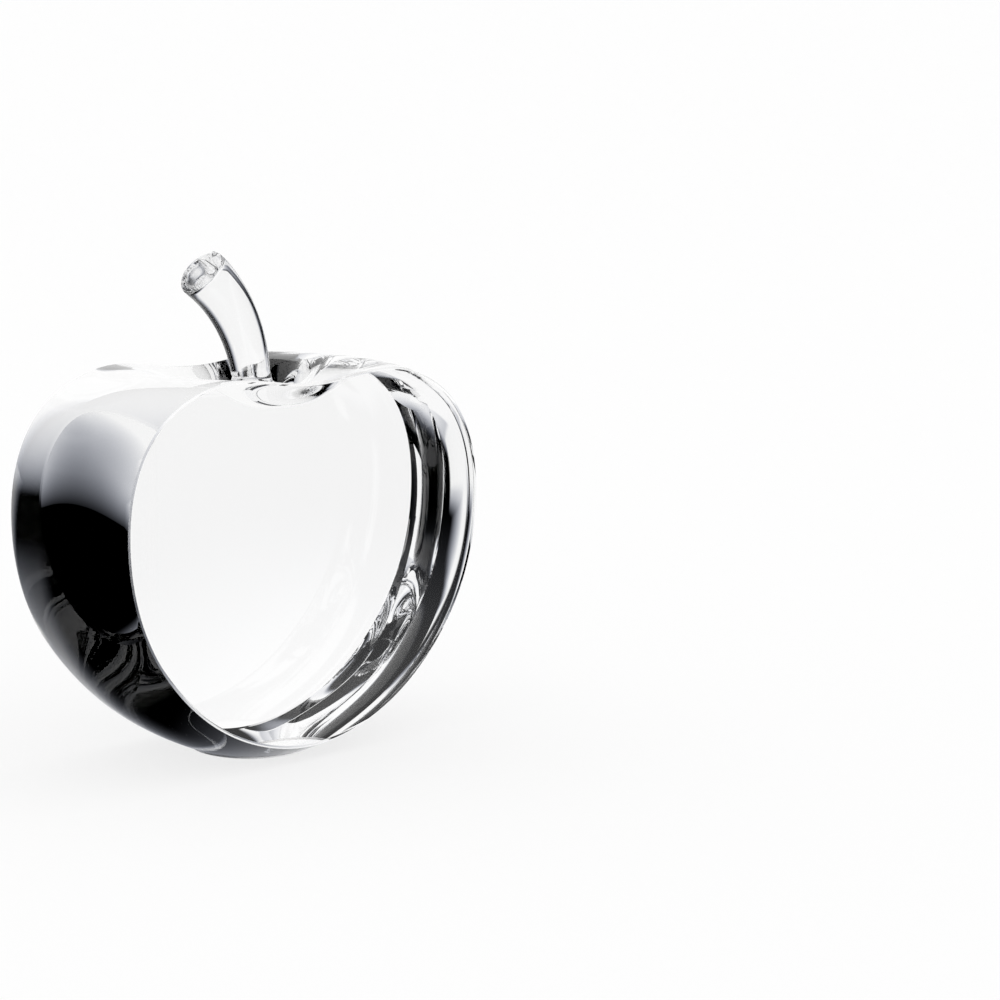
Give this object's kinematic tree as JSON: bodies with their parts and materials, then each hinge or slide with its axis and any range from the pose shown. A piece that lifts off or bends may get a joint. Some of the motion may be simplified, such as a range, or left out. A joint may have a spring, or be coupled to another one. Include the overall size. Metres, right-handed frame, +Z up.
{
  "type": "art glass apple paperweight",
  "caption": "Clear optical crystal apple cut flat at front and back, with a bonded bent glass stem with a sheared end; stands on a ground base.",
  "frame": {"origin": "middle of the ground base, on the surface that the apple stands on", "axes": "+Z up along the apple's axis, X across its width, the front flat faces -Y, and the stem bends to -X"},
  "size_m": [0.099, 0.038, 0.1021],
  "materials": {
    "crystal": "polished clear optical crystal",
    "stem_glass": "fire-polished clear glass, sheared at its end",
    "bond": "clear light-cured adhesive"
  },
  "bodies": {
    "root": {"apple_body": "crystal", "stem": "stem_glass", "stem_bond": "bond"}
  },
  "joints": []
}
